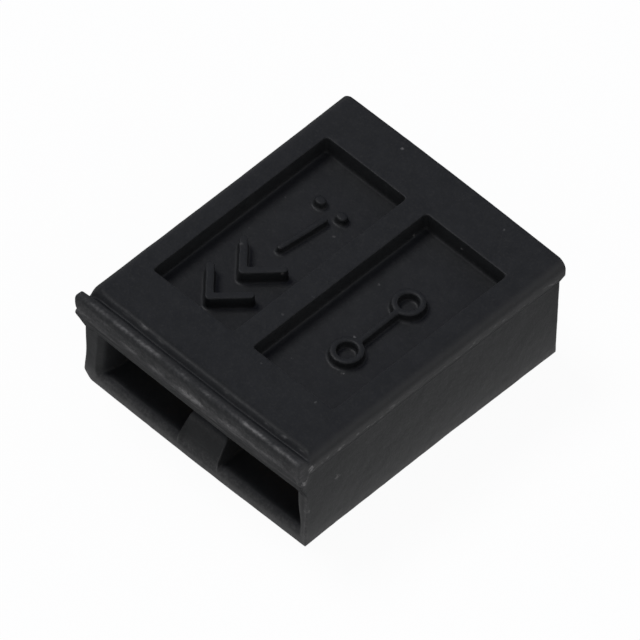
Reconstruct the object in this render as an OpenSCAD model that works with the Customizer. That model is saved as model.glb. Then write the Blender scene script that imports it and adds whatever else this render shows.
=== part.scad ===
// Two-position jumper shunt: a moulded housing that slides over two neighbouring square
// header posts, with one bent spring strip inside that grips both posts and joins them.
// The shunt lies on its broad face: X runs across the two posts, the mouth faces -Y, +Z is up.
// The origin is the centre of the flat face that it lies on.

/* [Housing] */
// Width of the housing across both positions
housing_w = 5.06; // [4.9:0.02:5.4]
// Length of the housing from the mouth's face to the closed end
housing_l = 5.9; // [5.4:0.1:9]
// Thickness of the housing from the bottom to the top face
housing_t = 2.44; // [2.3:0.02:3]
// Radius of the bottom and back edges
edge_r = 0.02; // [0.01:0.01:0.12]
// Radius of the top face's two long edges
top_r = 0.2; // [0.08:0.01:0.24]

/* [Mould halves] */
// Sideways set of the top half against the bottom half, to the right
mould_shift = 0.12; // [0:0.01:0.14]
// Sideways set of the cavity and the contact against the bottom half, to the right
core_shift = 0.09; // [0:0.01:0.14]
// Depth below the top face of the line where the two halves meet
part_drop = 0.61; // [0.56:0.01:0.7]
// Height of the sloped step where the two halves meet
part_run = 0.27; // [0.1:0.01:0.3]

/* [Front lip] */
// Height of the lip's crest above the top face
lip_rise = 0.05; // [0.02:0.01:0.2]
// Overhang of the lip in front of the mouth's face
lip_reach = 0.37; // [0.3:0.01:0.42]
// Depth below the top face at which the lip starts to lean out
lip_drop = 1.18; // [1.08:0.01:1.28]
// Angle at which the lip leans out from upright, in degrees
lip_lean = 25; // [24:1:35]
// Width of the lip's crest
crest_w = 0.12; // [0.08:0.01:0.16]
// Distance from the mouth's face forward to the bottom of the groove behind the lip
groove_set = 0.1; // [0.06:0.01:0.14]
// Depth of the groove behind the lip
groove_depth = 0.1; // [0.06:0.01:0.14]

/* [Top pockets] */
// Depth of the two pockets in the top face
pocket_depth = 0.37; // [0.1:0.01:0.45]
// Length of each pocket
pocket_l = 4.06; // [3:0.02:4.4]
// Distance from the closed end to the pockets
pocket_back = 0.91; // [0.5:0.02:1]
// Distance from each side of the top half to its pocket
pocket_side = 0.47; // [0.3:0.01:0.6]
// Width of the rib between the pockets
pocket_rib = 0.45; // [0.2:0.01:0.8]
// Radius of the pockets' corners
pocket_r = 0.06; // [0.02:0.01:0.15]

/* [Cavity] */
// Thickness of the bottom wall
floor_t = 0.32; // [0.26:0.01:0.4]
// Height of the cavity
cavity_h = 0.94; // [0.9:0.01:1]
// Thickness of the closed end
back_wall = 0.5; // [0.3:0.02:0.8]
// Radius of the lead-in at the floor and sides of the mouth
lead_in = 0.16; // [0.05:0.01:0.25]
// Height of the ridge above the floor
ridge_h = 0.52; // [0.3:0.02:0.6]
// Height above the floor at which the slope of the ridge's front end starts
ridge_foot = 0.08; // [0:0.01:0.15]
// Length of the slope at the ridge's front end
ridge_nose = 0.25; // [0.1:0.01:0.4]
// Radius between that slope and the ridge's top
nose_r = 0.3; // [0.05:0.01:0.35]
// How far each side of the ridge leans in
ridge_draft = 0.05; // [0:0.01:0.08]
// Radius of the ridge's two long edges
ridge_r = 0.14; // [0.04:0.01:0.16]

/* [Contact] */
// Distance between the centres of the two posts
pitch = 2.54; // [2.4:0.01:2.7]
// Thickness of the spring strip
strip_t = 0.12; // [0.1:0.01:0.13]
// Width of the strip at each position
leaf_w = 1.46; // [1.3:0.02:1.7]
// Free gap between a position's two leaves, where they pinch the post
pinch_gap = 0.44; // [0.36:0.01:0.5]
// Distance from the mouth's face back to the leaves' tips
tip_set = 0.75; // [0.6:0.05:1]
// Distance from the tips to the pinch point
pinch_run = 0.95; // [0.7:0.05:1.2]
// Length over which a leaf eases back from the pinch point to its wall
ease_run = 1.5; // [1:0.05:1.8]
// Length of the plate that bridges the two positions
bridge_l = 1.2; // [0.8:0.05:1.4]
// Length of each retaining barb
barb_l = 0.4; // [0.2:0.05:0.6]
// Clearance between the strip and the cavity's floor, ceiling and closed end
strip_clear = 0.02; // [0.01:0.01:0.04]
// Room between the strip's outer edges and the side walls, which the barbs fill
side_clear = 0.17; // [0.06:0.01:0.18]
// Clearance between the strip's inner edges and the ridge
ridge_clear = 0.08; // [0.04:0.01:0.2]

/* [Hidden] */

// Angle covered by each segment of a rounded corner, in degrees
arc_step = 9;
// Segments along each half of a leaf's curve
leaf_steps = 10;
// How far a cutting solid runs past the face that it opens
past = 1;

front_y = -housing_l / 2;
back_y = housing_l / 2;
half_w = housing_w / 2;

// The lip leans out from its root, then sweeps upright
lip_root_z = housing_t - lip_drop;
lip_top_z = housing_t + lip_rise;
lip_front_y = front_y - lip_reach;
lip_bend_z = lip_root_z + lip_reach / tan(lip_lean);
crest_r = crest_w * 0.45;
lip_bend_room = min(lip_reach / sin(lip_lean), lip_top_z - crest_r - lip_bend_z) * 0.8;
lip_bend_r = lip_bend_room / tan(lip_lean / 2);
groove_y = front_y - groove_set;
groove_r = groove_depth * 0.25;
rim_r = groove_depth * 1.4;

// The top half's sides
top_right = half_w + mould_shift;
top_left = mould_shift - half_w;
part_low_z = housing_t - part_drop;
part_high_z = part_low_z + part_run;

leaf_edge = (pitch + leaf_w) / 2;
cavity_top = floor_t + cavity_h;
cavity_half_w = leaf_edge + side_clear;
cavity_back_y = back_y - back_wall;
ridge_w = pitch - leaf_w - 2 * ridge_clear;
// The lead-in's radius, within the thickness of the bottom wall and the thinner side wall
mouth_r = min(lead_in, floor_t - edge_r, half_w - core_shift - cavity_half_w);

mid_z = floor_t + cavity_h / 2;
hairpin_r = cavity_h / 2 - strip_clear;
hairpin_y = cavity_back_y - strip_clear - hairpin_r;
tip_y = front_y + tip_set;
pinch_y = tip_y + pinch_run;
bow = hairpin_r - strip_t - pinch_gap / 2;

function unit(v) = v / norm(v);

// Smallest turn that brings angle a to angle b
function turn(a, b) = let (d = (b - a) % 360) d > 180 ? d - 360 : d < -180 ? d + 360 : d;

// Points of the arc of radius r that rounds the corner at b, between a and c
function corner_arc(a, b, c, r) =
    let (
        u = unit(a - b),
        v = unit(c - b),
        half = acos(u * v) / 2,
        centre = b + unit(u + v) * r / sin(half),
        p = b + u * r / tan(half) - centre,
        q = b + v * r / tan(half) - centre,
        start = atan2(p.y, p.x),
        sweep = turn(start, atan2(q.y, q.x)),
        steps = ceil(abs(sweep) / arc_step)
    )
    [for (i = [0:steps]) centre + r * [cos(start + sweep * i / steps), sin(start + sweep * i / steps)]];

// Closed outline through corners [x, y, radius], where a radius of 0 leaves the corner sharp
function rounded(corners) =
    let (n = len(corners), at = function (i) [corners[i % n].x, corners[i % n].y])
    [for (i = [0:n - 1]) each corners[i].z > 0
        ? corner_arc(at(i + n - 1), at(i), at(i + 1), corners[i].z)
        : [at(i)]];

// Both halves of an outline that is given for the right side, bottom first
function mirrored(corners) =
    concat(corners, [for (i = [len(corners) - 1:-1:0]) [-corners[i].x, corners[i].y, corners[i].z]]);

// Extrude an outline given in Y and Z along X, centred
module along_x(width) {
    rotate([90, 0, 90]) linear_extrude(height = width, center = true) children();
}

// Extrude an outline given in X and Z along Y, from one Y to another
module along_y(from, to) {
    translate([0, to, 0]) rotate([90, 0, 0]) linear_extrude(height = to - from) children();
}

// Side view of the housing with its lip and groove
module side_outline() {
    polygon(rounded([
        [front_y, 0, edge_r],
        [back_y, 0, edge_r],
        [back_y, housing_t, edge_r],
        [front_y, housing_t, rim_r],
        [groove_y, housing_t - groove_depth, groove_r],
        [lip_front_y + crest_w, lip_top_z, crest_r],
        [lip_front_y, lip_top_z, crest_r],
        [lip_front_y, lip_bend_z, lip_bend_r],
        [front_y, lip_root_z, 0],
    ]));
}

// Front view up to a given height, with the step between the mould halves on both sides
module front_outline(top_z, round_r) {
    polygon(rounded([
        [half_w, 0, edge_r],
        [half_w, part_low_z, 0],
        [top_right, part_high_z, 0],
        [top_right, top_z, round_r],
        [top_left, top_z, round_r],
        [top_left, part_high_z, 0],
        [-half_w, part_low_z, 0],
        [-half_w, 0, edge_r],
    ]));
}

module housing_body() {
    intersection() {
        along_x(2 * (half_w + mould_shift + past)) side_outline();
        union() {
            along_y(lip_front_y - past, back_y + past) front_outline(housing_t, top_r);
            along_y(lip_front_y - past, groove_y) front_outline(lip_top_z, crest_r);
        }
    }
}

// One pocket, from the rib outwards
module pocket() {
    inner = pocket_rib / 2;
    outer = half_w - pocket_side;
    far = back_y - pocket_back;
    near = far - pocket_l;
    translate([0, 0, housing_t - pocket_depth])
        linear_extrude(height = pocket_depth + past)
            polygon(rounded([
                [inner, near, pocket_r],
                [outer, near, pocket_r],
                [outer, far, pocket_r],
                [inner, far, pocket_r],
            ]));
}

// The cavity's room before the ridge is left standing in it
module cavity_room() {
    outside = housing_w / 2 + past;
    intersection() {
        along_x(2 * outside) polygon(rounded([
            [cavity_back_y, floor_t, 0],
            [cavity_back_y, cavity_top, 0],
            [front_y - past, cavity_top, 0],
            [front_y - past, -past, 0],
            [front_y, -past, 0],
            [front_y, floor_t, mouth_r],
        ]));
        translate([0, 0, -past])
            linear_extrude(height = housing_t + past) polygon(rounded(mirrored([
                [outside, front_y - past, 0],
                [outside, front_y, 0],
                [cavity_half_w, front_y, mouth_r],
                [cavity_half_w, cavity_back_y, 0],
            ])));
    }
}

// The low ridge on the floor that keeps the two positions apart
module ridge() {
    ridge_top = floor_t + ridge_h;
    intersection() {
        along_x(ridge_w + 2 * past) polygon(rounded([
            [front_y, -past, 0],
            [back_y, -past, 0],
            [back_y, ridge_top, 0],
            [front_y + ridge_nose, ridge_top, nose_r],
            [front_y, floor_t + ridge_foot, 0],
        ]));
        along_y(front_y - past, back_y) polygon(rounded(mirrored([
            [ridge_w / 2, -past, 0],
            [ridge_w / 2, floor_t, 0],
            [ridge_w / 2 - ridge_draft, ridge_top, ridge_r],
        ])));
    }
}

module shunt_housing() {
    color([0.045, 0.045, 0.05])
        difference() {
            housing_body();
            translate([mould_shift, 0, 0]) {
                pocket();
                mirror([1, 0, 0]) pocket();
            }
            translate([core_shift, 0, 0]) difference() {
                cavity_room();
                ridge();
            }
        }
}

// How far a leaf stands off its wall at each point from its tip to where it lies flat
function leaf_curve() = concat(
    [for (i = [0:leaf_steps]) let (f = i / leaf_steps)
        [tip_y + pinch_run * f, bow * (1 - cos(180 * f)) / 2]],
    [for (i = [1:leaf_steps]) let (f = i / leaf_steps)
        [pinch_y + ease_run * f, bow * (1 + cos(180 * f)) / 2]]
);

function reversed(points) = [for (i = [len(points) - 1:-1:0]) points[i]];

// Edge of the hairpin strip at a given distance from its middle: upper leaf, bend, lower leaf
function hairpin_edge(r) =
    let (leaf = leaf_curve(), steps = ceil(180 / arc_step))
    concat(
        [for (p = leaf) [p.x, mid_z + r - p.y]],
        [for (i = [0:steps]) let (a = 90 - 180 * i / steps) [hairpin_y + r * cos(a), mid_z + r * sin(a)]],
        [for (p = reversed(leaf)) [p.x, mid_z - r + p.y]]
    );

// The strip at one position: two sprung leaves joined by a bend at the closed end
module hairpin() {
    along_x(leaf_w)
        polygon(concat(hairpin_edge(hairpin_r), reversed(hairpin_edge(hairpin_r - strip_t))));
}

// A tooth on the strip's outer edge that stops the strip sliding back out of the mouth
module barb() {
    root_y = hairpin_y - bridge_l / 2;
    linear_extrude(height = strip_t)
        polygon([
            [leaf_edge - strip_t, root_y],
            [cavity_half_w, root_y],
            [leaf_edge, root_y + barb_l],
            [leaf_edge - strip_t, root_y + barb_l],
        ]);
}

module bridge_contact() {
    plate_z = mid_z + hairpin_r - strip_t;
    color([0.78, 0.6, 0.36])
        translate([core_shift, 0, 0])
            union() {
                for (side = [-1, 1])
                    translate([side * pitch / 2, 0, 0]) hairpin();
                translate([-pitch / 2, hairpin_y - bridge_l, plate_z]) cube([pitch, bridge_l, strip_t]);
                translate([0, 0, plate_z]) {
                    barb();
                    mirror([1, 0, 0]) barb();
                }
            }
}

shunt_housing();
bridge_contact();
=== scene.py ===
"""Two-position jumper shunt in black plastic, lying on a white table, seen from its right front corner."""
import math

import bmesh
import bpy
import numpy as np
from mathutils import Matrix, Vector


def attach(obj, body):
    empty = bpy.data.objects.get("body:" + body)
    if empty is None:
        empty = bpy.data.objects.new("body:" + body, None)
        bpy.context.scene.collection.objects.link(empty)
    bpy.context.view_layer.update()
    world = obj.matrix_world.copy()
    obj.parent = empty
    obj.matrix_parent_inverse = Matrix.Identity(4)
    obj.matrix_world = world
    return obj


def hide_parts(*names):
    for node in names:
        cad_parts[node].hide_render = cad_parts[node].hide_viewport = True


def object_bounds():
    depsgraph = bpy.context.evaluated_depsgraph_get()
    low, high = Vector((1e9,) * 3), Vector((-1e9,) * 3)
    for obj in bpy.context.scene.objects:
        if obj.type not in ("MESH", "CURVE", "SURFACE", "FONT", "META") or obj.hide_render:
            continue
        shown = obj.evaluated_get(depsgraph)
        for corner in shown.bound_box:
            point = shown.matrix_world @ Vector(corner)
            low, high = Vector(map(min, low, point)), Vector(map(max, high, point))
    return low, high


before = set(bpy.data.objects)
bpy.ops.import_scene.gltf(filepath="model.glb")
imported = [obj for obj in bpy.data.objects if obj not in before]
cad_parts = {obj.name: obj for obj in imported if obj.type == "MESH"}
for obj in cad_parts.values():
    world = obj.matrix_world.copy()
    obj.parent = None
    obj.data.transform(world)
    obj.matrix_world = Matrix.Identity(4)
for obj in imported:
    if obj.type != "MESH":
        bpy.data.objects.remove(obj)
cad_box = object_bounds()

# Lengths and places are in millimetres, and the scene is in metres
MM = 0.001
X, Y, Z = range(3)

# Camera, as solved from the photograph's edges: the point that it looks at, and that point's pixel
IMAGE_PX = 640
AIM_MM = (0.0, 0.0, 1.14)
AIM_PX = (321.83, 319.11)
PX_PER_MM = 61.02
AZIMUTH_DEG = 42.37
ELEVATION_DEG = 50.55
ROLL_DEG = 2.61
DISTANCE_MM = 370.0
SENSOR_MM = 36.0
CLIP_M = (0.01, 10)

# Light: a soft key lamp from the left, in a room that is bright low down and dimmer overhead
KEY_FROM = (-0.48, -0.1, 0.87)
KEY_STRENGTH = 1.6
KEY_SPREAD_DEG = 24
KEY_GLOSS = 0.05
SKY_LOW = (0.95, 0.95, 0.95, 1)
SKY_HIGH = (0.142, 0.15, 0.225, 1)
SKY_DIM_WAY = (-0.3, 0.15, 1)
SKY_DIM_FROM = 0.15
SKY_DIM_TO = 0.85

# White table: its finish, how much of its shading shows, and the painted glow that reflections see in it
# near and far
TABLE_SIZE_M = 2
TABLE_DROP = 0.01
TABLE_GREYS = (0.93, 0.95)
TABLE_ROUGHNESS = 0.9
PATCH_PER_MM = 0.02
SHADOW_SHARE = 0.05
GLOW_NEAR = 0.92
GLOW_FAR = 0.2
GLOW_REACH = 0.8

# Plastic: its gloss, the share of it that places of painted shade keep, and the roughness that matt places
# add
GLOSS = 0.17
PAINTED_SHADE_SHARE = 0.3
MATT_ROUGHNESS = 0.3

# Plastic: how fine its textures are, how its rubbed streaks are drawn out, its grain's height, and its greys
CLOUD_PER_MM = 0.9
MOTTLE_PER_MM = 4
SCUFF_PER_MM = 7
RUB_PER_MM = 13
GRAIN_PER_MM = 22
RUB_STRETCH = (1, 0.55, 1)
BUMP_HEIGHT = 0.007
GREY_DARK = 0.01
GREY_MIDDLE = 0.014
GREY_MOTTLE = 0.0155
GREY_GRAIN = 0.025
GREY_WORN_AND_LIT = 0.13

# Dust specks on the plastic: how close they lie, the share that shows, and how bright and how bent they are
SPECK_PER_MM = 2.5
SPECK_SHARE = 0.6
SPECK_STRENGTH = 0.9
SPECK_BEND = 0.06

# Bronze strip: its tones, and the streaks that rolling left along it
BRONZE_DARK = (0.72, 0.5, 0.26, 1)
BRONZE_LIGHT = (0.8, 0.62, 0.36, 1)
BRONZE_STREAK = (0.5, 0.33, 0.17, 1)
BRONZE_CLOUD_PER_MM = 1.3
ROLLED_STRETCH = (21, 1.8, 21)
ROLLED_HEIGHT = 0.004

# Housing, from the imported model's box: half the width of its bottom half, how far its top half is set
# over to the right, its closed end, the lip's front and the lip's top. The mouth's face is at -END_Y
LOW, HIGH = ([round(value / MM, 3) for value in corner] for corner in cad_box)
SIDE_X = -LOW[X]
TOP_SHIFT = HIGH[X] - SIDE_X
END_Y = HIGH[Y]
LIP_Y = LOW[Y]
LIP_Z = HIGH[Z]

# Top face, pocket floors, and the seam between the two halves
TOP_Z = LIP_Z - 0.05
POCKET_FLOOR_Z = TOP_Z - 0.37
SEAM_Z = TOP_Z - 0.34

# Ridge between the two openings: its middle, half its width, its foot, its nose and its top
RIDGE_X = 0.09
RIDGE_HALF_W = 0.45
RIDGE_FOOT_Z = 0.16
RIDGE_NOSE_Z = 0.4
RIDGE_TOP_Z = 0.84

# Lines that run across the width, as y and z
CREST_LINE = (LIP_Y + 0.04, LIP_Z - 0.005)
BEND_LINE = (LIP_Y + 0.01, LIP_Z - 0.36)
GROOVE_LINE = (-END_Y - 0.13, TOP_Z - 0.09)
RIM_FRONT_LINE = (-END_Y - 0.02, TOP_Z - 0.01)
RIM_BACK_LINE = (-END_Y + 0.02, TOP_Z)
POCKET_BACK_LINE = (END_Y - 0.92, POCKET_FLOOR_Z)
MOUTH_TOP_LINE = (-END_Y, 1.26)
MOUTH_SILL_LINE = (-END_Y + 0.02, 0.24)
NOSE_LINE = (-END_Y + 0.16, 0.74)

# Raised marks on the pocket floors, each with the width and height of its stroke
STROKE_STEPS = 8
STROKE_TAPER = 0.84
STROKE_SINK = 0.08
DOTS_X = (-1.2, -0.71)
DOTS_Y = 1.15
DOT_HALF_L = 0.02
DOT_STROKE = (0.2, 0.14)
DASH = [(-0.965, -0.03), (-0.86, 0.9)]
DASH_STROKE = (0.13, 0.14)
ARROW_X = (-1.44, -0.98, -0.52)
ARROW_TIPS_Y = (-0.9, -1.68)
ARROW_L = 0.5
ARROW_STROKE = (0.17, 0.25)
RING_X = 1.34
RINGS_Y = (-0.83, 0.62)
RING_R = 0.24
RING_STEPS = 16
RING_STROKE = (0.13, 0.16)

# Where the moulding is out of shape: the axis along which it is moved, how far, and the centre and
# the reach of each such place
NUDGES = (
    # Left front corner bowed in
    (X, 0.035, (-SIDE_X, -END_Y, 0.65), (0.15, 0.5, 0.4)),
    # Side walls of the mouth thinner
    (X, -0.08, (-2.1, -END_Y, 0.9), (0.14, 0.3, 0.6)),
    (X, -0.07, (-2.1, -END_Y, 0.38), (0.14, 0.2, 0.3)),
    (X, 0.08, (2.3, -END_Y, 0.4), (0.12, 0.3, 0.4)),
    # Left end of the lip lower, bulging and deeply notched
    (Z, -0.02, (-2.44, -3.26, LIP_Z), (0.1, 0.1, 0.12)),
    (X, -0.035, (-2.42, -3.3, 2.3), (0.1, 0.2, 0.2)),
    (Z, -0.14, (-2.42, -3.03, 2.3), (0.18, 0.1, 0.2)),
    # Right end of the lip squarer
    (X, 0.1, (2.56, -3.16, 1.86), (0.12, 0.12, 0.17)),
)

# Hollow of the sides, which spread at both ends, and bulge of the two ends
SIDE_SPREAD = 0.02
SIDE_HOLLOW = 0.018
END_BULGE = 0.02

# Chip along the bottom of the left front corner: its size, and how far back it ends
CHIP = 0.19
CHIP_BACK_Y = -2.3

# Rise of the mouth's upper edge, set-back of the ridge's nose, and depth of the lip's dents
MOUTH_RISE = 0.05
NOSE_SET_BACK = 0.088
LIP_DENT = 0.008

# Swells all over the surface: the height, the size and the first seed of each kind
SWELLS = ((0.0035, 0.45, 10), (0.0015, 0.12, 20))

# Bright streaks along the lip's crest and bend, partly rubbed wear and partly painted highlight: where each
# starts and ends, and its strength
CREST_STREAKS = (
    (-2.2, -1.5, 0.25),
    (-1.55, -0.5, 0.5),
    (0.47, 0.63, 0.8),
    (1.27, 1.84, 0.7),
    (2.07, 2.6, 0.5),
)
BEND_STREAKS = (
    (-0.75, -0.4, 0.4),
    (0.0, 0.56, 0.9),
    (1.0, 1.25, 0.4),
)

# Pale spots painted at the lip's right end and on the right side: the place, radius and strength
# of each, and how ragged their outlines are
PALE_SPOTS = (
    ((2.66, -3.01, 2.21), 0.06, 1.0),
    ((2.68, -3.17, 1.94), 0.07, 1.0),
    ((SIDE_X, -2.24, 1.21), 0.06, 0.4),
    ((SIDE_X, -2.93, 0.89), 0.06, 0.4),
)
SPOT_RAGGED = 0.25

# Mesh of the housing: how close points are joined, its voxels, its rounds of softening, how soft it is
# low down and above, and its number of triangles
WELD = 0.0001
VOXEL = 0.02
SOFT_ROUNDS = 2
SOFT_LOW = 0.05
SOFT_HIGH = 0.5
TRIANGLE_LIMIT = 195000


def make_camera():
    azimuth, elevation, roll = (math.radians(a) for a in (AZIMUTH_DEG, ELEVATION_DEG, ROLL_DEG))
    level = math.cos(elevation)
    back = Vector((math.sin(azimuth) * level, -math.cos(azimuth) * level, math.sin(elevation)))
    right = Vector((math.cos(azimuth), math.sin(azimuth), 0))
    up = back.cross(right)
    rolled_right = right * math.cos(roll) + up * math.sin(roll)
    rolled_up = up * math.cos(roll) - right * math.sin(roll)
    aside = (IMAGE_PX / 2 - AIM_PX[0]) / PX_PER_MM
    above = (AIM_PX[1] - IMAGE_PX / 2) / PX_PER_MM
    place = Vector(AIM_MM) + rolled_right * aside + rolled_up * above + back * DISTANCE_MM
    camera = bpy.data.objects.new("camera", bpy.data.cameras.new("camera"))
    bpy.context.scene.collection.objects.link(camera)
    turn = Matrix((rolled_right, rolled_up, back)).transposed()
    camera.matrix_world = Matrix.Translation(place * MM) @ turn.to_4x4()
    camera.data.sensor_width = SENSOR_MM
    camera.data.lens = PX_PER_MM * DISTANCE_MM * SENSOR_MM / IMAGE_PX
    camera.data.clip_start, camera.data.clip_end = CLIP_M
    bpy.context.scene.camera = camera


class Nodes:
    """A node tree with short ways to add and join its nodes."""

    def __init__(self, tree):
        self.tree = tree

    def add(self, kind, settings=None, **inputs):
        node = self.tree.nodes.new(kind)
        for name, value in (settings or {}).items():
            setattr(node, name, value)
        for name, value in inputs.items():
            self.put(node.inputs[name], value)
        return node

    def put(self, socket, value):
        if isinstance(value, bpy.types.NodeSocket):
            self.tree.links.new(value, socket)
        else:
            socket.default_value = value

    def math(self, operation, a, b=0.0, clamp=False):
        node = self.add("ShaderNodeMath", {"operation": operation, "use_clamp": clamp})
        self.put(node.inputs[0], a)
        self.put(node.inputs[1], b)
        return node.outputs[0]

    def vector(self, operation, *values, output="Vector"):
        node = self.add("ShaderNodeVectorMath", {"operation": operation})
        for socket, value in zip(node.inputs, values):
            self.put(socket, value)
        return node.outputs[output]

    def axes(self, place):
        return self.add("ShaderNodeSeparateXYZ", Vector=place).outputs

    def carried(self, name):
        """Value that the mesh carries at each point."""
        return self.add("ShaderNodeAttribute", {"attribute_name": name}).outputs["Fac"]

    def ramp(self, value, low, high, out_low=0.0, out_high=1.0):
        """Smooth step of a value from one range to another."""
        node = self.add("ShaderNodeMapRange", {"interpolation_type": "SMOOTHSTEP"}, Value=value)
        for name, v in (("From Min", low), ("From Max", high), ("To Min", out_low), ("To Max", out_high)):
            node.inputs[name].default_value = v
        return node.outputs["Result"]

    def mix(self, share, a, b):
        node = self.add("ShaderNodeMix", {"data_type": "RGBA"})
        self.put(node.inputs["Factor"], share)
        self.put(node.inputs[6], a)
        self.put(node.inputs[7], b)
        return node.outputs[2]

    def noise(self, place, scale, detail=2.0, roughness=0.5):
        node = self.add("ShaderNodeTexNoise", Vector=place, Scale=scale, Detail=detail, Roughness=roughness)
        return node.outputs[0]

    def bump(self, shader, height, strength, distance):
        node = self.add("ShaderNodeBump", Height=height, Strength=strength, Distance=distance * MM)
        self.put(shader.inputs["Normal"], node.outputs[0])


def new_material(name):
    """Material, its nodes, its shader, and the place on the surface in millimetres."""
    material = bpy.data.materials.new(name)
    material.use_nodes = True
    nodes = Nodes(material.node_tree)
    place = nodes.add("ShaderNodeTexCoord").outputs["Object"]
    shader = material.node_tree.nodes["Principled BSDF"]
    return material, nodes, shader, nodes.vector("MULTIPLY", place, (1 / MM, 1 / MM, 1 / MM))


def grey(value, warmth=0.0):
    return (value * (1 + warmth), value, value * (1 - warmth), 1)


def plastic_tone(nodes, place, grain):
    """Near-black that varies in clouds, mottling and fine grain."""
    cloud = nodes.noise(place, CLOUD_PER_MM, 3)
    mottle = nodes.noise(place, MOTTLE_PER_MM, 3, 0.6)
    tone = nodes.mix(cloud, grey(GREY_DARK, -0.08), grey(GREY_MIDDLE, -0.05))
    tone = nodes.mix(nodes.ramp(mottle, 0.35, 0.65, 0, 0.6), tone, grey(GREY_MOTTLE, -0.05))
    return nodes.mix(nodes.ramp(grain, 0.5, 0.8, 0, 0.4), tone, grey(GREY_GRAIN))


def on_sides(nodes, x):
    return nodes.ramp(nodes.math("ABSOLUTE", x), SIDE_X - 0.13, SIDE_X - 0.03)


def dust_specks(nodes, place, grain):
    """Pale specks strewn over the sides, the top and the pocket floors."""
    x, _, z = nodes.axes(place)
    bent = nodes.vector("MULTIPLY_ADD", grain, (SPECK_BEND, SPECK_BEND, SPECK_BEND), place)
    cells = nodes.add("ShaderNodeTexVoronoi", Vector=bent, Scale=SPECK_PER_MM)
    chance = nodes.add("ShaderNodeSeparateColor", Color=cells.outputs["Color"]).outputs[0]
    dot = nodes.ramp(cells.outputs["Distance"], 0.02, 0.1, 1, 0)
    strength = nodes.ramp(chance, 1 - SPECK_SHARE, 1, 0, SPECK_STRENGTH)
    top = nodes.ramp(z, POCKET_FLOOR_Z - 0.07, POCKET_FLOOR_Z - 0.02)
    where = nodes.math("MAXIMUM", on_sides(nodes, x), top)
    return nodes.math("MULTIPLY", nodes.math("MULTIPLY", dot, strength), where)


def painted_low_light(nodes, place):
    """Painted light on the sides and the mouth's face close to the table, strongest low down."""
    x, y, z = nodes.axes(place)
    outside = nodes.math("MAXIMUM", on_sides(nodes, x), nodes.ramp(y, 0.03 - END_Y, 0.1 - END_Y, 1, 0))
    low = nodes.math("ADD", nodes.ramp(z, 0, 1, 0.07, 0), nodes.ramp(z, 0.05, 0.3, 0.16, 0))
    return nodes.math("MULTIPLY", outside, low)


def edge_wear_and_highlight(nodes, place):
    """Right edge of the top half: a painted highlight across its rounding, broken rubbed streaks along its
    seam, and painted light over the shade just under the seam.
    """
    x, _, z = nodes.axes(place)
    # Painted highlight across the rounding of the right top edge
    edge = nodes.ramp(x, SIDE_X - 0.12, SIDE_X + 0.14, 0, 0.12)
    edge = nodes.math("MULTIPLY", edge, nodes.ramp(z, SEAM_Z - 0.05, SEAM_Z))
    streaks = nodes.noise(nodes.vector("MULTIPLY", place, RUB_STRETCH), RUB_PER_MM, 2)
    broken = nodes.ramp(streaks, 0.55, 0.75, 0, 0.55)
    # Painted light over the shade just under the seam
    under = nodes.ramp(z, SEAM_Z - 0.06, SEAM_Z, 0.1, 0)
    seam = nodes.math("ADD", broken, under)
    seam = nodes.math("MULTIPLY", seam, nodes.ramp(x, SIDE_X + 0.02, SIDE_X + 0.07))
    seam = nodes.math("MULTIPLY", seam, nodes.ramp(z, SEAM_Z - 0.25, SEAM_Z - 0.2))
    seam = nodes.math("MULTIPLY", seam, nodes.ramp(z, SEAM_Z + 0.01, SEAM_Z + 0.15, 1, 0))
    return nodes.math("ADD", edge, seam)


def painted_floor_light(nodes, place):
    """Painted light that makes the pockets' floors slightly paler."""
    x, _, z = nodes.axes(place)
    across = nodes.math("ABSOLUTE", nodes.math("SUBTRACT", x, TOP_SHIFT))
    inside = nodes.ramp(across, SIDE_X - 0.43, SIDE_X - 0.33, 1, 0)
    floor = nodes.math("MULTIPLY", nodes.ramp(z, POCKET_FLOOR_Z - 0.1, POCKET_FLOOR_Z - 0.03),
                       nodes.ramp(z, POCKET_FLOOR_Z + 0.03, POCKET_FLOOR_Z + 0.1, 0.025, 0))
    return nodes.math("MULTIPLY", floor, inside)


def wear_and_painted_light(nodes, place, grain, scuff):
    """How pale the plastic is, from wear and from painted light, from what the mesh carries and from the
    place on it.
    """
    # Painted light low down by the table joins the mesh's map of wear and painted light
    wear_and_light = nodes.math("ADD", nodes.carried("wear_and_sheen"), painted_low_light(nodes, place))
    wear_and_light = nodes.math("MULTIPLY", wear_and_light, nodes.ramp(scuff, 0.25, 0.6, 0.4, 1))
    wear_and_light = nodes.math("MULTIPLY", wear_and_light, nodes.ramp(grain, 0.3, 0.7, 0.6, 1.4))
    # Painted highlight and painted light on the right edge, and painted light on the pocket floors
    wear_and_light = nodes.math("ADD", wear_and_light, nodes.math("ADD", edge_wear_and_highlight(nodes, place), painted_floor_light(nodes, place)))
    ragged = nodes.math("MULTIPLY", nodes.math("SUBTRACT", grain, 0.5), SPOT_RAGGED)
    # Pale spots painted at the lip's right end and on the right side
    for spot, reach, strength in PALE_SPOTS:
        apart = nodes.math("ADD", nodes.vector("DISTANCE", place, spot, output="Value"), ragged)
        wear_and_light = nodes.math("MAXIMUM", wear_and_light, nodes.ramp(apart, 0.2 * reach, 1.2 * reach, strength, 0))
    return wear_and_light


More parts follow.
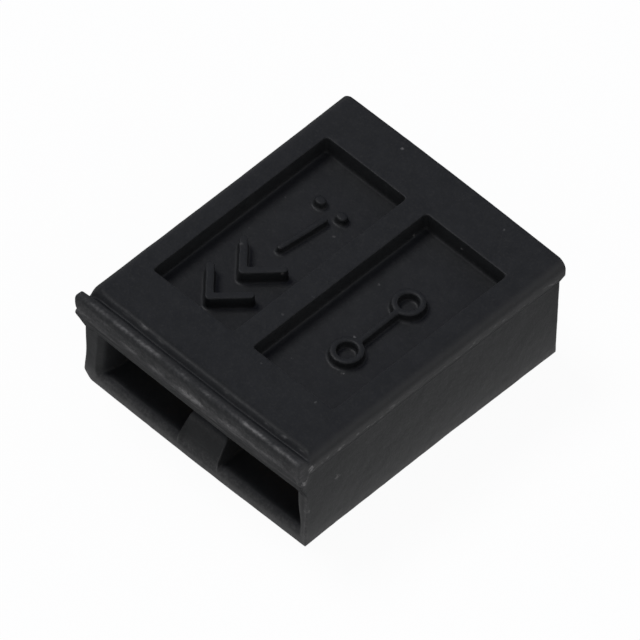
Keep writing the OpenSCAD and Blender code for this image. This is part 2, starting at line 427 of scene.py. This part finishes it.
def make_plastic():
    material, nodes, shader, place = new_material("housing_plastic")
    grain = nodes.noise(place, GRAIN_PER_MM, 2)
    scuff = nodes.noise(place, SCUFF_PER_MM, 3, 0.6)

    wear_and_light = wear_and_painted_light(nodes, place, grain, scuff)
    pale = nodes.math("MAXIMUM", wear_and_light, dust_specks(nodes, place, grain), clamp=True)
    # Pale grey for wear, specks and painted light
    tone = nodes.mix(pale, plastic_tone(nodes, place, grain), grey(GREY_WORN_AND_LIT, 0.02))
    nodes.put(shader.inputs["Base Color"], tone)

    matt = nodes.math("MULTIPLY", nodes.carried("matt"), MATT_ROUGHNESS)
    nodes.put(shader.inputs["Roughness"], nodes.math("ADD", nodes.ramp(grain, 0.2, 0.8, 0.42, 0.52), matt))
    # Gloss lowered where the mesh carries painted shade
    gloss = nodes.ramp(nodes.carried("painted_shade"), 0, 1, GLOSS, GLOSS * PAINTED_SHADE_SHARE)
    nodes.put(shader.inputs["Specular IOR Level"], gloss)

    height = nodes.math("ADD", nodes.math("MULTIPLY", grain, 0.6), nodes.math("MULTIPLY", scuff, 0.8))
    nodes.bump(shader, height, 0.5, BUMP_HEIGHT)
    return material


def make_bronze():
    material, nodes, shader, place = new_material("contact_bronze")
    cloud = nodes.noise(place, BRONZE_CLOUD_PER_MM, 3)
    rolled = nodes.noise(nodes.vector("MULTIPLY", place, ROLLED_STRETCH), 1, 3, 0.6)
    tone = nodes.mix(nodes.ramp(cloud, 0.35, 0.7), BRONZE_DARK, BRONZE_LIGHT)
    tone = nodes.mix(nodes.ramp(rolled, 0.5, 0.8, 0, 0.4), tone, BRONZE_STREAK)
    nodes.put(shader.inputs["Base Color"], tone)
    shader.inputs["Metallic"].default_value = 1.0
    nodes.put(shader.inputs["Roughness"], nodes.ramp(rolled, 0.3, 0.7, 0.24, 0.4))
    nodes.bump(shader, rolled, 0.3, ROLLED_HEIGHT)
    return material


def make_light():
    world = bpy.data.worlds.new("studio")
    world.use_nodes = True
    nodes = Nodes(world.node_tree)
    direction = nodes.add("ShaderNodeTexCoord").outputs["Generated"]
    overhead = nodes.vector("DOT_PRODUCT", direction, SKY_DIM_WAY, output="Value")
    sky = nodes.mix(nodes.ramp(overhead, SKY_DIM_FROM, SKY_DIM_TO), SKY_LOW, SKY_HIGH)
    nodes.put(world.node_tree.nodes["Background"].inputs["Color"], sky)
    bpy.context.scene.world = world
    key = bpy.data.objects.new("key", bpy.data.lights.new("key", "SUN"))
    key.data.energy = KEY_STRENGTH
    key.data.angle = math.radians(KEY_SPREAD_DEG)
    key.data.specular_factor = KEY_GLOSS
    key.rotation_euler = Vector(KEY_FROM).to_track_quat("Z", "Y").to_euler()
    bpy.context.scene.collection.objects.link(key)


def make_table():
    """White table that shows only a faint shadow; reflections see a painted glow in it, nearly white next to
    the object and dim far away.
    """
    bpy.ops.mesh.primitive_plane_add(size=TABLE_SIZE_M, location=(0, 0, -TABLE_DROP * MM))
    table = bpy.context.object
    table.name = "table"
    material, nodes, shader, place = new_material("table")
    shader.inputs["Roughness"].default_value = TABLE_ROUGHNESS
    patches = nodes.noise(place, PATCH_PER_MM, 2)
    nodes.put(shader.inputs["Base Color"], nodes.mix(patches, *(grey(value) for value in TABLE_GREYS)))

    # Painted glow that reflections see in the table, which fades with the distance from the object
    x, y, _ = nodes.axes(place)
    aside = nodes.math("SUBTRACT", nodes.math("ABSOLUTE", x), SIDE_X)
    ahead = nodes.math("SUBTRACT", nodes.math("ABSOLUTE", y), END_Y)
    away = nodes.math("MAXIMUM", nodes.math("MAXIMUM", aside, ahead), 0)
    fading = nodes.math("DIVIDE", GLOW_REACH, nodes.math("ADD", away, GLOW_REACH))
    painted_glow = nodes.math("ADD", GLOW_FAR, nodes.math("MULTIPLY", fading, GLOW_NEAR - GLOW_FAR))

    path = nodes.add("ShaderNodeLightPath").outputs
    glow = nodes.add("ShaderNodeEmission", Strength=nodes.math("MAXIMUM", path["Is Camera Ray"], painted_glow))
    mirrored = nodes.math("ADD", path["Is Glossy Ray"], path["Is Transmission Ray"])
    direct = nodes.math("MULTIPLY", path["Is Camera Ray"], 1 - SHADOW_SHARE)
    both = nodes.add("ShaderNodeMixShader")
    nodes.put(both.inputs[0], nodes.math("ADD", direct, mirrored, clamp=True))
    nodes.put(both.inputs[1], shader.outputs[0])
    nodes.put(both.inputs[2], glow.outputs[0])
    nodes.put(nodes.tree.nodes["Material Output"].inputs["Surface"], both.outputs[0])
    table.data.materials.append(material)


def add_stroke(bm, a, b, width, low, high):
    """Closed raised stroke with round ends between two points."""
    a, b = Vector(a), Vector(b)
    along = math.atan2(b.y - a.y, b.x - a.x)
    outline = []
    for end, start in ((b, along - math.pi / 2), (a, along + math.pi / 2)):
        for i in range(STROKE_STEPS + 1):
            angle = start + math.pi * i / STROKE_STEPS
            outline.append((end, Vector((math.cos(angle), math.sin(angle)))))
    rings = []
    for z, half in ((low, width / 2), (high, width / 2 * STROKE_TAPER)):
        rings.append([bm.verts.new((*(end + out * half), z)) for end, out in outline])
    bm.faces.new(reversed(rings[0]))
    bm.faces.new(rings[1])
    for i in range(len(outline)):
        j = (i + 1) % len(outline)
        bm.faces.new((rings[0][i], rings[0][j], rings[1][j], rings[1][i]))


def add_line(bm, points, stroke):
    width, rise = stroke
    for a, b in zip(points, points[1:]):
        add_stroke(bm, a, b, width, POCKET_FLOOR_Z - STROKE_SINK, POCKET_FLOOR_Z + rise)


def ring(centre_y):
    angles = [2 * math.pi * i / RING_STEPS for i in range(RING_STEPS + 1)]
    return [(RING_X + RING_R * math.cos(a), centre_y + RING_R * math.sin(a)) for a in angles]


def add_marks(bm):
    """Raised marks: dots, a dash and two arrows in the left pocket, two joined rings in the right one."""
    for x in DOTS_X:
        add_line(bm, [(x - DOT_HALF_L, DOTS_Y), (x + DOT_HALF_L, DOTS_Y)], DOT_STROKE)
    add_line(bm, DASH, DASH_STROKE)
    for y in ARROW_TIPS_Y:
        add_line(bm, list(zip(ARROW_X, (y + ARROW_L, y, y + ARROW_L))), ARROW_STROKE)
    for y in RINGS_Y:
        add_line(bm, ring(y), RING_STROKE)
    add_line(bm, [(RING_X, RINGS_Y[0] + RING_R), (RING_X, RINGS_Y[1] - RING_R)], RING_STROKE)


def noise(points, cell, seed):
    """Smooth random values between -1 and 1 at points, varying over the given cell size."""
    size = 32
    lattice = np.random.default_rng(seed).uniform(-1, 1, (size, size, size))
    place = points / cell
    base = np.floor(place).astype(int)
    share = place - base
    share = share * share * (3 - 2 * share)
    total = np.zeros(len(points))
    for corner in np.ndindex(2, 2, 2):
        i = (base + corner) % size
        weight = np.prod(np.where(np.array(corner) == 1, share, 1 - share), axis=1)
        total += weight * lattice[i[:, X], i[:, Y], i[:, Z]]
    return total


def step(value, low, high):
    """Smooth step from 0 at low to 1 at high."""
    t = np.clip((value - low) / (high - low), 0, 1)
    return t * t * (3 - 2 * t)


def fall(value, low, high):
    """Smooth step from 1 at low to 0 at high."""
    return step(-value, -high, -low)


def near(points, centre, reach):
    """Bell that is 1 at a centre and fades over a reach along each axis."""
    return np.exp(-np.sum(((points - centre) / reach) ** 2, axis=1))


def along_x(points, line, reach):
    """Bell round a line across the width, with one reach or a reach for y and one for z."""
    return near(points[:, Y:], line, reach)


def stretch(x, start, end):
    """1 between two places across the width, with soft ends."""
    return step(x, start - 0.05, start + 0.1) * fall(x, end - 0.1, end + 0.05)


def streaks(points, lengths, seed, low, high):
    """Patches between 0 and 1 that are drawn out along the given lengths."""
    return step(noise(points, lengths, seed), low, high)


def mean_of_neighbours(values, edges):
    a, b = edges.T
    n = len(values)
    count = np.bincount(a, minlength=n) + np.bincount(b, minlength=n)
    total = [np.bincount(a, v[b], n) + np.bincount(b, v[a], n) for v in values.T]
    return np.stack(total, axis=1) / np.maximum(count, 1)[:, None]


def mould_and_wear(points):
    """Move the housing's points as shrinkage, chips and handling have moved the real one's."""
    moved = points.copy()
    x, y, z = points.T
    for axis, shift, centre, reach in NUDGES:
        moved[:, axis] += shift * near(points, centre, reach)

    # Sides hollow along their length, and both ends full
    hollow = SIDE_HOLLOW * (1 - (y / END_Y) ** 2).clip(0)
    moved[:, X] += np.sign(x) * (SIDE_SPREAD - hollow) * step(np.abs(x), SIDE_X - 0.23, SIDE_X - 0.08)
    full = END_BULGE * (1 - (x / SIDE_X) ** 2).clip(0)
    moved[:, Y] += np.sign(y) * full * step(np.abs(y), END_Y - 0.35, END_Y - 0.05)

    # Left front corner chipped at the bottom
    chip = (CHIP * fall(y, -END_Y, CHIP_BACK_Y) - (x + SIDE_X + z)).clip(0)
    moved[:, X] += chip / 2
    moved[:, Z] += chip / 2

    # Upper edge of the mouth higher, and the ridge's nose set back
    between_sides = fall(np.abs(x), SIDE_X - 0.23, SIDE_X - 0.13)
    moved[:, Z] += MOUTH_RISE * along_x(points, MOUTH_TOP_LINE, (0.25, 0.1)) * between_sides
    on_ridge = fall(np.abs(x - RIDGE_X), RIDGE_HALF_W - 0.05, RIDGE_HALF_W)
    nose = on_ridge * fall(y, 0.25 - END_Y, 0.45 - END_Y)
    below = (z - RIDGE_FOOT_Z) / (RIDGE_NOSE_Z - RIDGE_FOOT_Z)
    above = (RIDGE_TOP_Z - z) / (RIDGE_TOP_Z - RIDGE_NOSE_Z)
    moved[:, Y] += NOSE_SET_BACK * nose * np.minimum(below, above).clip(0)

    # Lip dented along its crest and its face
    lip = fall(y, LIP_Y + 0.22, LIP_Y + 0.32) * step(z, 1.4, 1.7)
    dents = noise(points, (0.7, 0.2, 0.25), 3) + 0.4 * noise(points, (0.25, 0.12, 0.1), 4)
    moved[:, Y] += LIP_DENT * dents * lip
    moved[:, Z] += LIP_DENT * noise(points, (0.5, 0.3, 0.3), 5) * lip

    for height, cell, seed in SWELLS:
        for axis in (X, Y, Z):
            moved[:, axis] += height * noise(points, cell, seed + axis)
    return moved


def wear_and_sheen_of(points):
    """How scuffed each point of the housing is, and how far painted light and painted highlights lighten it,
    from 0 to 1.
    """
    x, y, z = points.T

    # Lip: scuffed face, paler towards its top, and bright streaks along its crest and its bend, partly
    # rubbed wear and partly painted highlight
    lip = fall(y, LIP_Y + 0.15, LIP_Y + 0.25) * step(z, 1.5, 1.8)
    wear_and_sheen = lip * (0.15 * step(z, 1.75, 2.05) + 0.05 * step(z, 2.15, 2.25) - 0.11 * step(z, 2.31, 2.4))
    wear_and_sheen += 0.2 * lip * fall(z, 2.3, 2.4) * streaks(points, (0.6, 0.25, 0.07), 31, 0.0, 0.6)
    crest = 0.05 + 0.4 * streaks(points, (0.4, 0.2, 0.2), 30, -0.2, 0.5)
    for start, end, strength in CREST_STREAKS:
        crest += strength * stretch(x, start, end)
    bend = 0.05 + 0.3 * streaks(points, (0.3, 0.2, 0.2), 34, 0.0, 0.6)
    for start, end, strength in BEND_STREAKS:
        bend += strength * stretch(x, start, end)
    wear_and_sheen += crest * along_x(points, CREST_LINE, 0.028) + bend * along_x(points, BEND_LINE, 0.075)

    # Specks on the rim of the top face, the right front edge lightened, painted light on the sill of the
    # mouth and a painted highlight on the nose of the ridge
    wear_and_sheen += 0.9 * along_x(points, RIM_FRONT_LINE, 0.03) * streaks(points, (0.1, 0.1, 0.1), 32, 0.65, 0.85)
    wear_and_sheen += 0.3 * near(points[:, :Z], (SIDE_X, -END_Y), 0.04) * fall(z, 1.2, 1.4)
    # Painted light on the sill of the mouth
    wear_and_sheen += 0.1 * along_x(points, MOUTH_SILL_LINE, 0.07)
    # Painted highlight on the nose of the ridge
    wear_and_sheen += 0.12 * along_x(points, NOSE_LINE, 0.055) * stretch(x, -0.4, 0.6)
    return np.clip(wear_and_sheen, 0, 1)


def matt_of(points, normals):
    """How much rougher than the rest each point is: the lip's face and all that overhangs."""
    _, y, z = points.T
    lip = fall(y, LIP_Y + 0.17, LIP_Y + 0.27) * step(z, 1.25, 1.35)
    overhang = fall(normals[:, Z], -0.3, -0.05) * step(z, 0.2, 0.3)
    return np.maximum(lip, overhang)


def shade_dulling_of(points):
    """How far each point's gloss is lowered as painted shade: the lip's groove, the pockets' back corners
    and the mouth's left wall.
    """
    groove = along_x(points, GROOVE_LINE, 0.06) + along_x(points, RIM_BACK_LINE, 0.05)
    corner = along_x(points, POCKET_BACK_LINE, 0.06)
    wall = 0.5 * near(points, (-2.4, -END_Y, 0.5), (0.2, 0.15, 0.3))
    wall += 0.8 * near(points, (-2.06, -2.88, 0.4), (0.09, 0.2, 0.25))
    return np.clip(0.7 * groove + 1.2 * corner + wall, 0, 1)


def mesh_arrays(mesh):
    points = np.empty(len(mesh.vertices) * 3)
    edges = np.empty(len(mesh.edges) * 2, np.int32)
    mesh.vertices.foreach_get("co", points)
    mesh.edges.foreach_get("vertices", edges)
    return points.reshape(-1, 3), edges.reshape(-1, 2)


def apply_modifier(piece, kind, **settings):
    modifier = piece.modifiers.new(kind.lower(), kind)
    for name, value in settings.items():
        setattr(modifier, name, value)
    made = bpy.data.meshes.new_from_object(piece.evaluated_get(bpy.context.evaluated_depsgraph_get()))
    piece.modifiers.clear()
    piece.data = made


def keep_value(mesh, name, values):
    mesh.attributes.new(name, "FLOAT", "POINT").data.foreach_set("value", values)


def make_housing(source, material):
    """Housing with soft moulded edges, raised marks, and maps of wear, painted light and painted shade, in
    place of the plain solid.
    """
    bm = bmesh.new()
    bm.from_mesh(source.data)
    bm.transform(Matrix.Scale(1 / MM, 4) @ source.matrix_world)
    bmesh.ops.remove_doubles(bm, verts=bm.verts, dist=WELD)
    add_marks(bm)
    mesh = bpy.data.meshes.new("housing_shell")
    bm.to_mesh(mesh)
    bm.free()
    piece = bpy.data.objects.new("housing_shell", mesh)
    bpy.context.scene.collection.objects.link(piece)
    apply_modifier(piece, "REMESH", mode="VOXEL", voxel_size=VOXEL)

    points, edges = mesh_arrays(piece.data)
    softness = SOFT_LOW + (SOFT_HIGH - SOFT_LOW) * step(points[:, Z:], 0.03, 0.2)
    for _ in range(SOFT_ROUNDS):
        points += softness * (mean_of_neighbours(points, edges) - points)
    piece.data.vertices.foreach_set("co", mould_and_wear(points).ravel())
    piece.data.update()
    piece.data.calc_loop_triangles()
    share = min(1.0, TRIANGLE_LIMIT / len(piece.data.loop_triangles))
    apply_modifier(piece, "DECIMATE", ratio=share)

    mesh = piece.data
    points, _ = mesh_arrays(mesh)
    normals = np.empty(points.size)
    mesh.vertices.foreach_get("normal", normals)
    keep_value(mesh, "wear_and_sheen", wear_and_sheen_of(points))
    keep_value(mesh, "matt", matt_of(points, normals.reshape(-1, 3)))
    keep_value(mesh, "painted_shade", shade_dulling_of(points))
    mesh.transform(Matrix.Scale(MM, 4))
    mesh.shade_smooth()
    mesh.materials.clear()
    mesh.materials.append(material)
    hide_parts("shunt_housing")
    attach(piece, "root")


def dress_contact(contact, material):
    contact.data.materials.clear()
    contact.data.materials.append(material)


bpy.context.scene.view_settings.view_transform = "Standard"
make_camera()
make_light()
make_table()
make_housing(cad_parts["shunt_housing"], make_plastic())
dress_contact(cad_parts["bridge_contact"], make_bronze())
